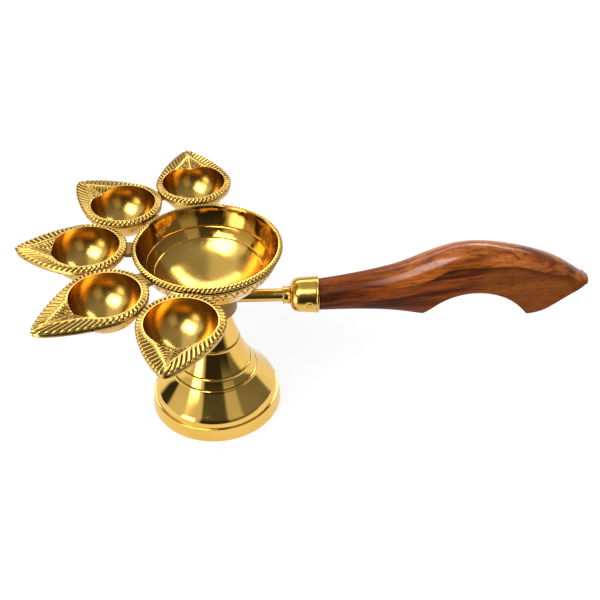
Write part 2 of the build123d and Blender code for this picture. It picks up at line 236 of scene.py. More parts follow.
class Value:
    """A number, colour or vector in a finish. Arithmetic on it adds Math nodes."""

    def __init__(self, finish, socket):
        self.finish = finish
        self.socket = socket

    def math(self, operation, *others):
        """One Math node on this number and the others."""
        return self.finish.node("ShaderNodeMath", {"operation": operation}, dict(enumerate((self, *others))))

    def __add__(self, other):
        return self.math("ADD", other)

    def __sub__(self, other):
        return self.math("SUBTRACT", other)

    def __mul__(self, other):
        return self.math("MULTIPLY", other)

    def __rsub__(self, other):
        return (self * -1) + other

    __radd__ = __add__
    __rmul__ = __mul__

    def ease(self, low, high):
        """0 at low and 1 at high, eased between; low may be the larger."""
        return self.finish.node("ShaderNodeMapRange", {"interpolation_type": "SMOOTHSTEP"},
                                {"Value": self, "From Min": low, "From Max": high})


class Finish:
    """The nodes of one material or of the world."""

    def __init__(self, owner):
        owner.use_nodes = True
        self.owner = owner
        self.tree = owner.node_tree
        self.tree.nodes.clear()

    def node(self, kind, settings, sockets, out=0):
        """Adds a node: first its settings, then the values or links of its sockets."""
        made = self.tree.nodes.new(kind)
        for key, value in settings.items():
            setattr(made, key, value)
        for key, value in sockets.items():
            if isinstance(value, Value):
                self.tree.links.new(value.socket, made.inputs[key])
            else:
                made.inputs[key].default_value = value
        return Value(self, made.outputs[out]) if made.outputs else None

    def mark(self, name):
        """A per-point number of the piece."""
        return self.node("ShaderNodeAttribute", {"attribute_name": name}, {}, "Fac")

    def place(self, scale=(1, 1, 1), rotate=(0, 0, 0)):
        """Object coordinates, turned and then scaled."""
        spot = self.node("ShaderNodeTexCoord", {}, {}, "Object")
        turned_spot = self.node("ShaderNodeMapping", {}, {"Vector": spot, "Rotation": rotate})
        return self.node("ShaderNodeMapping", {}, {"Vector": turned_spot, "Scale": scale})

    def part_of(self, vector, axis):
        """One of the three numbers of a vector."""
        return self.node("ShaderNodeSeparateXYZ", {}, {"Vector": vector}, axis)

    def noise(self, where, detail, rough=0.5, warp=0.0):
        """Cloudy noise at a place."""
        return self.node("ShaderNodeTexNoise", {}, {"Vector": where, "Scale": 1.0, "Detail": detail,
                                                    "Roughness": rough, "Distortion": warp})

    def lines(self, number, detail):
        """Noise along one number, for lines that run square to it."""
        return self.node("ShaderNodeTexNoise", {"noise_dimensions": "1D"},
                         {"W": number, "Scale": 1.0, "Detail": detail})

    def mix(self, share, first, second):
        """Colour between two colours."""
        first = first if isinstance(first, Value) else (*first, 1)
        second = second if isinstance(second, Value) else (*second, 1)
        return self.node("ShaderNodeMix", {"data_type": "RGBA"}, {0: share, 6: first, 7: second}, 2)

    def bump(self, height, distance):
        """Normal of a surface that rises by a height times a distance in metres."""
        return self.node("ShaderNodeBump", {}, {"Height": height, "Distance": distance}, "Normal")

    def end(self, **sockets):
        """Principled surface with the named sockets, joined to the output."""
        named = {key.replace("_", " "): value for key, value in sockets.items()}
        surface = self.node("ShaderNodeBsdfPrincipled", {}, named, "BSDF")
        self.node("ShaderNodeOutputMaterial", {}, {"Surface": surface})
        return self.owner


def brass(name, tone, gloss, grain, brushed=0.0):
    """Brass: tone is its colour, gloss its roughness where it is bare, grain how strong its turning lines
    are, and brushed how far round brushing draws out what it mirrors. Six marks of the piece steer it:
    the hollow mark is painted shade, near black and duller, in grooves, cuts, undercuts and dents; cast keeps
    a pitted and darker skin; the wall mark is painted shade, browner, on the steep inner walls of the cups
    and the bowl; dull is brushed, not polished; wavy is how uneven the hand left it; and turn runs along the
    profile for the fine lines of the lathe or brush."""
    lighter = tuple(min(1, part * 1.06 + 0.02) for part in tone)
    # Colour of the painted shade on the steep inner walls
    wall_shade_tone = (0.43, 0.205, 0.026)
    as_cast = (0.42, 0.235, 0.042)
    hollow_shade_tone = (0.055, 0.024, 0.003)
    # Colour of the painted shade in grooves, cuts, undercuts and dents
    pit_floor = (0.16, 0.075, 0.010)
    metal = Finish(bpy.data.materials.new(name))
    cavity = metal.mark("cavity").ease(0.0, 1.0)
    cast = metal.mark("cast")
    cloud = metal.noise(metal.place((38, 38, 38)), detail=4)
    skin = metal.noise(metal.place((620, 620, 620)), detail=3)
    pits = metal.noise(metal.place((380, 380, 520)), detail=1).ease(0.66, 0.72)
    line = metal.lines(metal.mark("turn") * 4.0, detail=6)
    wave = metal.noise(metal.place((95, 95, 60)), detail=2) * metal.mark("wavy")
    colour = metal.mix(cloud.ease(0.32, 0.68), tone, lighter)
    # Painted shade: browner colour on the steep inner walls of the cups and the bowl
    colour = metal.mix(metal.mark("tarnish"), colour, wall_shade_tone)
    colour = metal.mix(cast * 0.45, colour, as_cast)
    # Painted shade: grooves, cuts, undercuts and dents go near black
    colour = metal.mix(cavity * 0.94, colour, hollow_shade_tone)
    colour = metal.mix(cast * pits, colour, pit_floor)
    rough = gloss + (cloud - 0.5) * 0.06 + (line - 0.5) * (0.20 * grain) + cavity * 0.3 + cast * skin * 0.2
    rough = rough + metal.mark("dull") * 0.11
    height = line * grain + skin * cast * 2.0 - pits * cast * 2.0 + wave * 15.0
    return metal.end(Base_Color=colour, Metallic=1.0, Roughness=rough.math("MAXIMUM", 0.04),
                     Anisotropic=brushed, Normal=metal.bump(height, 0.00003))


def plated_steel():
    """Zinc-plated steel of the screw and washer, with fine brushing and a few dull patches."""
    metal = Finish(bpy.data.materials.new("plated_steel"))
    patch = metal.noise(metal.place((300, 300, 300)), detail=4)
    brush = metal.noise(metal.place((400, 4000, 400)), detail=2)
    colour = metal.mix(patch.ease(0.35, 0.7), (0.55, 0.54, 0.50), (0.42, 0.41, 0.38))
    return metal.end(Base_Color=colour, Metallic=1.0, Roughness=patch * 0.25 + 0.22,
                     Normal=metal.bump(brush, 0.00002))


def oiled_wood():
    """Oiled hardwood: growth rings are distances from a pith line that leans against the handle, so that they
    open into eyes on the ridge; streaks, threads, pores and knots are noises drawn out along the grain. The
    ridge is glossy, and its lighter orange is painted light on the top; the sawn flats are dull; and the
    crease is darkened as painted shadow under the ridge."""
    lean = (0.0, 0.16, 0.06)
    pith_y, pith_z, ring_width = -6.0, 96.0, 3.1
    timber = Finish(bpy.data.materials.new("oiled_wood"))
    ridge, flat, crease = timber.mark("ridge"), timber.mark("flat"), timber.mark("crease")
    spot = timber.place((1000, 1000, 1000), lean)
    across = timber.part_of(spot, "Y") - pith_y
    upright = timber.part_of(spot, "Z") - pith_z
    warp = timber.noise(timber.place((22, 60, 60), lean), detail=2)
    reach = (across * across + upright * upright).math("SQRT") + (warp - 0.5) * 16.0
    rings = (reach * (TURN / ring_width)).math("SINE") * 0.5 + 0.5
    streak = timber.noise(timber.place((16, 170, 170), lean), detail=4, rough=0.6, warp=0.3)
    thread = timber.noise(timber.place((70, 1100, 1100), lean), detail=3, rough=0.6)
    pore = timber.noise(timber.place((150, 1500, 1500), lean), detail=1).ease(0.63, 0.72)
    knots = timber.noise(timber.place((60, 150, 150), lean), detail=4, warp=0.9).ease(0.60, 0.72)
    body = timber.mix(streak.ease(0.38, 0.60), (0.042, 0.007, 0.001), (0.265, 0.055, 0.004))
    body = timber.mix(rings.ease(0.55, 1.0) * 0.45, body, (0.115, 0.022, 0.003))
    # Painted light: the ridge is a lighter orange where light falls on the top
    lit_ridge = timber.mix(streak.ease(0.36, 0.62), (0.150, 0.028, 0.002), (0.520, 0.135, 0.009))
    lit_ridge = timber.mix(rings.ease(0.6, 1.0) * 0.4, lit_ridge, (0.230, 0.050, 0.006))
    sawn = timber.mix(streak.ease(0.3, 0.7), (0.150, 0.038, 0.004), (0.232, 0.060, 0.007))
    colour = timber.mix(ridge, body, lit_ridge)
    colour = timber.mix(flat, colour, sawn)
    colour = timber.mix(thread.ease(0.50, 0.75) * 0.55, colour, (0.075, 0.017, 0.004))
    colour = timber.mix(pore * 0.75, colour, (0.035, 0.011, 0.005))
    colour = timber.mix(knots * (1 - flat) * 0.8, colour, (0.03, 0.010, 0.005))
    # Painted shadow: darker along the crease under the ridge
    colour = timber.mix(crease * 0.55, colour, (0.030, 0.008, 0.003))
    rough = 0.42 - ridge * 0.08 + flat * 0.18 + thread * 0.10 + pore * 0.2
    height = thread * 0.5 - pore + flat * thread
    return timber.end(Base_Color=colour, Roughness=rough, Coat_Weight=0.8 * ridge, Coat_Roughness=0.14,
                      Specular_IOR_Level=0.1, Normal=timber.bump(height, 0.00012))


BRASS = (0.80, 0.50, 0.105)
polished = brass("polished_brass", BRASS, gloss=0.08, grain=0.25)
bowl_brass = brass("bowl_brass", BRASS, gloss=0.08, grain=0.25, brushed=0.7)
satin = brass("satin_brass", (0.78, 0.49, 0.11), gloss=0.20, grain=0.4)
turned_brass = brass("turned_brass", (0.70, 0.425, 0.085), gloss=0.20, grain=0.8)
# Painted shade: a very dark brass for the webs between the leaves and the bowl and the boss under the bowl
shaded_rough_brass = brass("shaded_dark_brass", (0.22, 0.115, 0.020), gloss=0.36, grain=0.3)
zinc = plated_steel()
grip_wood = oiled_wood()


def slanting_bars(phase):
    """Depth between the bars of a rope: 0 on a bar's crest and 1 in the cut, round bars with narrow cuts."""
    return 1 - np.abs(np.cos(phase / 2))**0.75


def bowl_inside():
    """Profile of the bowl's inside, an arc of a ball from the lowest point to the brim with two scribed V
    rings, and each point's share of the rings' depth."""
    ring_depth, ring_half, brim_drop = 0.16, 0.26, 0.45
    brim = math.acos((BOWL_MIDDLE - RIM + brim_drop) / BOWL_IN)
    rings = np.arcsin(np.array([26.0, 29.4]) / BOWL_IN)
    near = np.array([-ring_half, -0.12, 0, 0.12, ring_half]) / BOWL_IN
    lean = np.sort(np.concatenate([np.linspace(0, brim, 30), (rings[:, None] + near).ravel()]))
    scribed = np.clip(1 - np.abs(lean[:, None] - rings) * BOWL_IN / ring_half, 0, 1).sum(1)
    ball = BOWL_IN + ring_depth * scribed
    return np.stack([ball * np.sin(lean), BOWL_MIDDLE - ball * np.cos(lean)], 1), scribed


def rim_rope_cuts(bead_angle, round_angle):
    """Depth of the cuts in the rope rim, 0 to 1: bars round the rim that slant on their way over the bead.
    The cuts fade out at its inner edge and by half at its lower edge."""
    bars, slant = 108, 1.15
    over = (bead_angle - bead_angle[-1]) / (bead_angle[0] - bead_angle[-1])
    fade = np.interp(np.arange(len(bead_angle)), [0, 1.5, 10, 12], [0, 1, 1, 0.5])
    return slanting_bars(bars * round_angle - TURN * slant * over[:, None]) * fade[:, None]


def frieze_cuts(drop, round_angle):
    """Depth of the frieze's engraving, 0 to 1: a thin zigzag line, short bold strokes that slant across the
    upper half between its teeth, and a plain line along each edge."""
    teeth, strokes = 38, 76
    zigzag_half, edge_half, stroke_pitch, zigzag_lean = 0.32, 0.16, 2.9, 0.57
    down = ((drop - drop[0]) / (drop[-1] - drop[0]))[:, None]
    tooth = (round_angle * teeth / TURN) % 1
    zigzag = 0.24 + 0.62 * np.abs(2 * tooth - 1)
    thin = np.exp(-((down - zigzag) * FRIEZE_HEIGHT * zigzag_lean / zigzag_half)**2)
    from_stroke = np.abs((round_angle * strokes / TURN + 0.55 * down) % 1 - 0.5) * stroke_pitch
    upper = smooth(0.16, 0.3, down) * smooth(0.62, 0.46, down)
    between = smooth(0.25, 0.4, np.abs(tooth - 0.5) + 0.2 * down)
    bold = smooth(0.75, 0.3, from_stroke) * upper * between
    edges = sum(np.exp(-((down - place) * FRIEZE_HEIGHT / edge_half)**2) for place in (0.1, 0.94))
    return np.clip(0.85 * thin + bold + 0.8 * edges, 0, 1)


def bowl_with_rope_rim():
    """Bowl: a profile carried round the upright axis. Inside it is an arc of a ball; the rim is a bead of
    round section with slanting cuts; then come an undercut, the engraved frieze and the outer ball."""
    columns = 864
    bead_radius, rope_depth, engraving_depth = 1.28, 0.7, 0.38
    frieze_top, frieze_bottom, ball_start = 3.62, 10.0, 10.2
    inside, scribed = bowl_inside()
    lip = np.array([(33.5, RIM - 0.2), (33.6, RIM - 0.06), (33.78, RIM - 0.06)])
    bead_angle = np.radians(np.linspace(112, -80, 13))
    bead = np.stack([RIM_RADIUS - bead_radius + bead_radius * np.cos(bead_angle),
                     RIM - bead_radius + bead_radius * np.sin(bead_angle)], 1)
    undercut = np.array([(33.85, RIM - 2.62), (33.72, RIM - 2.8), (33.72, RIM - 3.35), (34.45, RIM - 3.5)])
    drop = np.linspace(frieze_top, frieze_bottom, 27)
    frieze = np.stack([np.sqrt(BOWL_OUT**2 - (BOWL_MIDDLE - RIM + drop)**2) + FRIEZE_PROUD, RIM - drop], 1)
    swing = np.linspace(math.acos((BOWL_MIDDLE - RIM + ball_start) / BOWL_OUT), 0, 13)
    outside = np.stack([BOWL_OUT * np.sin(swing), BOWL_MIDDLE - BOWL_OUT * np.cos(swing)], 1)
    profile = np.concatenate([inside, lip, bead, undercut, frieze, outside])
    ends = np.cumsum([len(inside), len(lip), len(bead), len(undercut), len(frieze)])
    inner = slice(0, ends[0])
    rope = slice(ends[1], ends[2])
    groove = slice(ends[2] - 1, ends[3])
    band = slice(ends[3], ends[4])

    round_angle = TURN * np.arange(columns) / columns
    outward = np.stack([np.cos(round_angle), np.sin(round_angle)], -1)
    cut = rim_rope_cuts(bead_angle, round_angle)
    engraved = frieze_cuts(drop, round_angle)
    points = turned(profile, columns)
    points[rope, :, :2] -= (rope_depth * cut * np.cos(bead_angle)[:, None])[..., None] * outward
    points[rope, :, 2] -= rope_depth * cut * np.sin(bead_angle)[:, None]
    points[band, :, :2] -= (engraving_depth * engraved)[..., None] * outward

    cavity = np.zeros(points.shape[:2])
    # Painted shade in the scribed rings, the rope's cuts, the undercut and the frieze's engraving
    cavity[inner] = 0.8 * scribed[:, None]
    cavity[rope] = cut**0.7
    cavity[groove] = 1
    cavity[band] = engraved**0.8
    wavy, dull, tarnish = np.zeros((3, len(profile), 1))
    wavy[inner] = 0.15 + 0.85 * smooth(20, 28, inside[:, :1])
    dull[inner] = smooth(26.0, 24.5, inside[:, :1])
    # Painted shade, browner, on the bowl's steep upper inside wall
    tarnish[inner] = 0.75 * smooth(23, 29, inside[:, :1])
    piece("bowl_with_rope_rim", points, bowl_brass, "bowl_brass", "bowl", sharp=50,
          cavity=cavity, turn=run_of(profile)[:, None], wavy=wavy, dull=dull, tarnish=tarnish)


def leaf_edge(angle, inset):
    """Distance from the cup's centre to the leaf's outline drawn in by inset: a round heel, and towards the
    tip the far crossing of the ray with the side's arc, whose centre lies on the other side of the leaf. The
    tip is worn round."""
    worn, worn_angle = 1.0, 0.055
    offset = SIDE - HEEL
    turn = math.acos((2 * SIDE * HEEL - HEEL**2 - TIP**2) / (2 * TIP * offset))
    away = np.abs((angle + math.pi) % TURN - math.pi)
    towards = -offset * np.cos(away - turn)
    side = towards + np.sqrt(towards**2 - offset**2 + (SIDE - inset)**2)
    return np.where(away < turn, side - worn * np.exp(-(away / worn_angle)**2), HEEL - inset)


def leaf_rays():
    """Headings of the leaf's rays, spaced evenly along the outline, each ray's place along it and its whole
    length."""
    rays = 690
    dense = np.linspace(0, TURN, 7201)
    outline = leaf_edge(dense, 0)
    run = run_of(np.stack([outline * np.cos(dense), outline * np.sin(dense)], 1))
    path = np.arange(rays) / rays * run[-1]
    return np.interp(path, run, dense), path, run[-1]


def leaf_cup_and_pad(angle):
    """Rows of radius and height up the ball of the cup to the pad or the lip, and over the pad. The pad is
    two flat leaves that fall from its far point and its corners to the middle line, with a midrib and
    wandering chevron veins. Also gives the painted shade in the pad's hollows between the veins, which rays
    cross the pad and where the border starts."""
    relief, sunk, rib_half, vein_pitch, vein_lean = 0.44, 0.26, 0.42, 2.1, 0.9
    ray_x, ray_y = np.cos(angle), np.sin(angle)
    fall = PAD_SINK / (PAD_REACH - math.sqrt(CUP**2 - PAD_SINK**2))
    rise = fall * (PAD_REACH - math.sqrt(CUP**2 - PAD_HALF**2)) / PAD_HALF
    tilt = fall * ray_x + rise * np.abs(ray_y)
    start = fall * PAD_REACH
    root = np.sqrt((start * tilt)**2 + (1 + tilt**2) * (CUP**2 - start**2))
    meets = (start * tilt + root) / (1 + tilt**2)
    on_pad = (tilt * meets - start < 0) & (ray_x > 0)
    mouth = np.where(on_pad, meets, CUP)
    border_in = np.maximum(np.where(on_pad, start / np.maximum(tilt, 0.01), CUP), CUP + 0.3)

    share = np.linspace(0, 1, 24)[:, None]
    swing = share**0.85 * np.arcsin(np.minimum(mouth / CUP, 1))
    cup = np.stack([CUP * np.sin(swing), -CUP * np.cos(swing)], -1)

    share = np.linspace(0, 1, 22)[1:-1, None]
    radius = mouth + (border_in - mouth) * share
    level = np.where(on_pad, tilt * radius - start, 0)
    x, y = radius * ray_x, radius * np.abs(ray_y)
    inside_pad = smooth(0.02, 0.12, share) * smooth(1.0, 0.86, share) * on_pad * smooth(0, 0.7, -level)
    wander = 0.28 * np.sin(1.9 * x + 1.3) * np.cos(1.4 * y) + 0.2 * np.sin(0.8 * x + 2.2 * y)
    vein = (0.5 + 0.5 * np.cos(TURN * (x - vein_lean * y + wander) / vein_pitch))**1.4
    midrib = np.exp(-(y / rib_half)**2)
    level = level + inside_pad * (relief * np.maximum(vein * smooth(0.4, 1.0, y), midrib) - sunk)
    pad = np.stack([radius, np.minimum(level, -0.02)], -1)
    # Painted shade in the pad's hollows between the veins and the midrib
    hollows = inside_pad * (1 - np.maximum(vein, midrib)) * 0.9
    return cup, pad, hollows, on_pad, border_in


def leaf_rope(angle, path, length, border_in):
    """Rows of the rope border, with its outer edge rounded, and the depth of its cuts. Bars are counted along
    the outline at a pitch that changes on the way, and lean by an angle that differs from side to side."""
    edge_round, cut_depth, cut_back = 1.0, 0.72, 0.14
    edge = leaf_edge(angle, 0)
    across = np.concatenate([np.linspace(0, 0.1, 3), np.linspace(0.16, 1, 14)])[:, None]
    radius = border_in + (leaf_edge(angle, 0.05) - border_in) * across
    inset = (edge - radius) / (edge - leaf_edge(angle, 1))
    rounding = 1 - np.sqrt(1 - np.clip(1 - inset / edge_round, 0, 1)**2)
    level = -edge_round * rounding - 0.08 * smooth(0.1, 0.2, across)
    nearest = path - (edge - radius) * np.gradient(edge, path)
    round_share = path / length
    pitch = np.interp(round_share, [0, 0.2, 0.35, 0.6, 0.8, 1], [3.0, 2.9, 2.4, 2.2, 2.3, 2.4])
    lean = np.interp(round_share, [0, 0.2, 0.3, 0.45, 0.7, 0.82, 1], [44, 46, 57, 66, 76, 95, 97])
    count = np.concatenate([[0], np.cumsum(1 / pitch[:-1])]) * (path[1] - path[0])
    count = count * round(count[-1]) / count[-1]
    phase = TURN * (np.interp(nearest, path, count) - inset / np.tan(np.radians(lean)) / pitch)
    cut = slanting_bars(phase) * smooth(0.09, 0.2, across)
    rope = np.stack([radius - cut_back * cut * smooth(0.7, 1.0, across), level - cut_depth * cut], -1)
    return rope, cut


def leaf_underside(angle):
    """Rows down the undercut and the side wall, along the flat underside and down the outer ball."""
    heights = np.array([-1.15, -1.5, -1.62, -1.8, -3.45, -3.75, -PLATE])[:, None]
    insets = (0.05, 0.3, 0.55, 0.4, 0.4, 0.55, 0.9)
    edges = np.stack([leaf_edge(angle, inset) for inset in insets])
    wall = np.stack(np.broadcast_arrays(edges, heights), -1)
    ball = CUP + CUP_WALL
    root = math.sqrt(ball**2 - PLATE**2)
    share = np.array([0.3, 0.65, 0.97])[:, None]
    flat = np.stack(np.broadcast_arrays(edges[-1] + (root + 0.02 - edges[-1]) * share, -PLATE), -1)
    swing = np.linspace(math.asin(root / ball), 0, 12)[:, None] + 0 * angle
    bulge = np.stack([ball * np.sin(swing), -ball * np.cos(swing)], -1)
    return np.concatenate([wall, flat, bulge])


def leaf_points():
    """One leaf cup round its cup's centre, as rows along rays: the cup, the pad, the rope border, the
    undercut, the side wall, the underside and the outer ball; and its marks for the finish."""
    angle, path, length = leaf_rays()
    cup, pad, hollows, on_pad, border_in = leaf_cup_and_pad(angle)
    rope, cut = leaf_rope(angle, path, length, border_in)
    rows = np.concatenate([cup, pad, rope, leaf_underside(angle)])
    points = np.stack([rows[..., 0] * np.cos(angle), rows[..., 0] * np.sin(angle), rows[..., 1]], -1)
    cup_end, pad_end, rope_end = np.cumsum([len(cup), len(pad), len(rope)])
    cavity, cast, tarnish, turn = np.zeros((4, *rows.shape[:2]))
    # Painted shade in the pad's hollows, in the rope's cuts and in the undercut below the rope
    cavity[cup_end:pad_end] = hollows
    cavity[pad_end:rope_end] = cut**0.7
    cavity[rope_end + 1:rope_end + 3] = 1
    cast[cup_end:pad_end] = 0.8 * on_pad
    cast[rope_end + 3:] = 1
    # Painted shade, browner, on the cup's steep inner wall
    tarnish[:cup_end] = 0.9 * smooth(0.6, 1.25, np.arcsin(cup[..., 0] / CUP))
    turn[:cup_end] = np.linspace(0, 25, len(cup))[:, None]
    return points, {"cavity": cavity, "cast": cast, "tarnish": tarnish, "turn": turn}


def leaf_cups():
    """Five leaves at even steps round the bowl, opposite the handle. Each tip is drawn out or in by its own
    length, which grows from nothing inside the cup to the whole at the tip."""
    leaf, marks = leaf_points()
    drawn_from = 13
    tip_share = np.clip((leaf[..., 0] - drawn_from) / (TIP - drawn_from), 0, 1)**1.4
    for number, longer in enumerate((1.0, 0.3, -0.3, 3.6, -0.8), 1):
        heading = math.pi + (number - 3) * LEAF_STEP
        out = LEAF_CENTRE + leaf[..., 0] + longer * tip_share
        rotated = np.stack([out * math.cos(heading) - leaf[..., 1] * math.sin(heading),
                            out * math.sin(heading) + leaf[..., 1] * math.cos(heading),
                            RIM + leaf[..., 2]], -1)
        piece(f"leaf_cup_{number}_chased", rotated, satin, "leaf_brass", f"leaf_cup_{number}", sharp=55,
              wavy=0.1, **marks)


def bell_side(top):
    """Profile of the bell's outside, a spline through the scribed rings, each a V groove with a small raised
    lip below it, and each point's share of the grooves' depth."""
    groove_depth, groove_half, lip_height, lip_place, lip_half = 0.34, 0.42, 0.14, 0.85, 0.4
    side = spline([(FOOT_NECK, top), *FOOT_RINGS[::-1], FOOT_SHOULDER], 900)
    run = run_of(side)
    scribed = np.interp(-np.array(FOOT_RINGS)[:, 1], -side[:, 1], run)
    near = np.array([-1.4, -0.9, -groove_half, -0.2, 0, 0.2, groove_half, 0.7, 1.0, 1.4, 1.9])
    place = np.sort(np.concatenate([np.linspace(0.6, run[-1], 60), (scribed[:, None] + near).ravel()]))
    bell = np.stack([np.interp(place, run, column) for column in side.T], 1)
    along = np.gradient(bell, place, axis=0)
    outward = np.stack([-along[:, 1], along[:, 0]], 1)
    outward = outward / np.linalg.norm(outward, axis=1, keepdims=True)
    away = place[:, None] - scribed
    groove = np.clip(1 - np.abs(away) / groove_half, 0, 1).sum(1)
    lip = np.exp(-((away - lip_place) / lip_half)**2).sum(1)
    return bell + outward * (lip_height * lip - groove_depth * groove)[:, None], groove


def bell_foot():
    """Foot: a closed section carried round the upright axis. From the crown the bell's side falls to a
    rounded shoulder, a step, a leaning flange and the ring that it stands on. The inside follows the bell,
    a wall's thickness away, up to the crown's underside."""
    top = HUB_BOTTOM - FIT_GAP
    ceiling_height = top - FOOT_CROWN
    flange_top = (32.2, 7.6)
    inside_foot = (28.6, 9.5)
    bell, groove = bell_side(top)
    crown = eased([(SCREW_HOLE, top), (8.1, top), bell[0]], 0.4)
    shoulder = spline([FOOT_SHOULDER, (31.95, 9.75), flange_top], 12)[1:]
    flange = eased([flange_top, (32.2, 7.35), (33.0, 7.35), (34.25, 0.3), (33.9, 0.0), (31.3, 0.0),
                    inside_foot], 0.45)
    within = spline([(FOOT_NECK - FOOT_WALL, top - FOOT_WALL), *(np.array(FOOT_RINGS[::-1]) - FOOT_WALL),
                     inside_foot], 60)[::-1]
    within = within[within[:, 1] < ceiling_height]
    ceiling = np.array([(within[-1, 0], ceiling_height), (SCREW_HOLE, ceiling_height)])
    profile = np.concatenate([crown[:-1], bell, shoulder, flange[1:], within[1:], ceiling])
    bell_start = len(crown) - 1
    bell_end = bell_start + len(bell)
    inner_start = bell_end + len(shoulder) + len(flange) - 2
    cavity, cast = np.zeros((2, len(profile), 1))
    # Painted shade in the scribed grooves
    cavity[bell_start:bell_end] = 0.85 * groove[:, None]
    cast[inner_start:] = 1
    piece("bell_foot", turned(profile, 288), polished, "foot_brass", "foot", ends="ring", sharp=35,
          cavity=cavity, cast=cast, turn=run_of(profile)[:, None])


def round_boss():
    """Boss under the bowl: a turned block with a rounded lower edge and a hollow seat that fits the bowl's
    ball."""
    seat = np.linspace(0, HUB, 14)
    upper = np.stack([seat, BOWL_MIDDLE - np.sqrt((BOWL_OUT + FIT_GAP)**2 - seat**2)], 1)
    lower = eased([upper[-1], (HUB, HUB_BOTTOM), (0, HUB_BOTTOM)], 0.9, 7)
    profile = np.concatenate([upper[:-1], lower])
    # Painted shade: the boss under the bowl takes the very dark brass
    piece("round_boss", turned(profile, 160), shaded_rough_brass, "foot_brass", "hub", turn=run_of(profile)[:, None])


def brass_rod():
    """Rod: a turned profile laid along the handle, from the boss's socket to the tip of its tang inside the
    grip."""
    shoulder = FERRULE + FERRULE_SHOULDER
    end = shoulder + TANG_LENGTH
    outer = eased([(ROD - 0.4, ROD_START), (ROD, ROD_START + 0.4), (ROD, shoulder), (TANG, shoulder),
                   (TANG_TIP, end)], 0.3)
    profile = np.concatenate([[(0, ROD_START)], outer, [(0, end)]])
    piece("brass_rod", laid(turned(profile, 128)), turned_brass, "rod_brass", "handle_rod",
          turn=run_of(profile)[:, None])


def collar_ring():
    """Collar: a ring of rounded section round the rod, with a fine bead turned at each end."""
    end = COLLAR_LENGTH - FIT_GAP
    outer = eased([(ROD_HOLE, 0), (4.4, 0), (4.65, 0.5), (4.35, 0.95), (4.35, 2.85), (4.65, 3.3), (4.4, end),
                   (ROD_HOLE, end)], 0.3)
    profile = outer + np.array([0, COLLAR])
    piece("collar_ring", laid(turned(profile, 144)), turned_brass, "rod_brass", "rod_collar", ends="ring",
          sharp=60, turn=run_of(profile)[:, None])


def domed_ferrule():
    """Ferrule: a dome that swells from the collar, a slightly leaning side and a rolled lip at the wood, with
    the hole for the rod and the bore for the wood inside. A small dent lies round each pin, with painted
    shade in it."""
    bore = TENON + FIT_GAP
    dent_radius, dent_share = 1.25, 0.05
    sweep = spline([(5.7, 0.0), (7.55, 1.35), (8.45, 3.3), (8.7, 5.2)], 24)
    lip = eased([(8.72, 5.6), (9.12, 12.3), (9.02, 12.55), (9.28, 12.8), (9.28, 13.5), (8.9, FERRULE_LENGTH),
                 (bore, FERRULE_LENGTH), (bore, FERRULE_SHOULDER), (ROD_HOLE, FERRULE_SHOULDER),
                 (ROD_HOLE, 0.0), (5.5, 0.0)], 0.25)
    profile = finely(np.concatenate([sweep, lip]), 0.22) + np.array([0, FERRULE])
    points = laid(turned(profile, 288))
    apart = np.hypot(points[..., 0] - (GRIP - PIN_SETBACK), points[..., 2] - AXIS)
    outside = np.abs(points[..., 1]) > 8.2
    dent = outside * np.exp(-(apart / dent_radius)**2)
    points[..., 1] *= 1 - dent_share * dent
    # Painted shade in the dents round the pins
    piece("domed_ferrule", points, turned_brass, "ferrule_brass", "ferrule", ends="ring",
          cavity=0.55 * dent, turn=run_of(profile)[:, None])


def grip_sections():
    """Stations along the grip, closer together at the two points of the arch, and at each the section's
    underside, top, half width and how square its lower half is (1 is round), on a spline through listed
    sections. The underside is a little lower than the solid's."""
    sections = np.array([
        (0.0, -7.8, 7.8, 7.8, 1.0), (13.5, -7.5, 10.2, 8.1, 0.93), (27.0, -7.3, 13.2, 8.7, 0.80),
        (40.5, -8.2, 17.4, 9.1, 0.65), (54.0, -10.2, 23.8, 9.4, 0.52), (67.5, -10.9, 28.4, 9.4, 0.48),
        (81.0, -11.0, 28.9, 9.4, 0.46), (94.5, -11.0, 26.8, 9.4, 0.46), (108.0, -11.0, 23.0, 9.4, 0.46),
        (121.5, -11.0, 17.4, 9.4, 0.46), (135.0, -11.0, 9.2, 9.4, 0.46)])
    curve = spline(sections, 3000)
    arch_points = [51.6, 51.75, 51.9, 106.2, TAIL_START, 106.4]
    station = np.sort(np.concatenate([np.linspace(0, GRIP_LENGTH, 250), arch_points]))
    values = [np.interp(station, curve[:, 0], column)[:, None] for column in curve.T[1:]]
    return station[:, None], *values


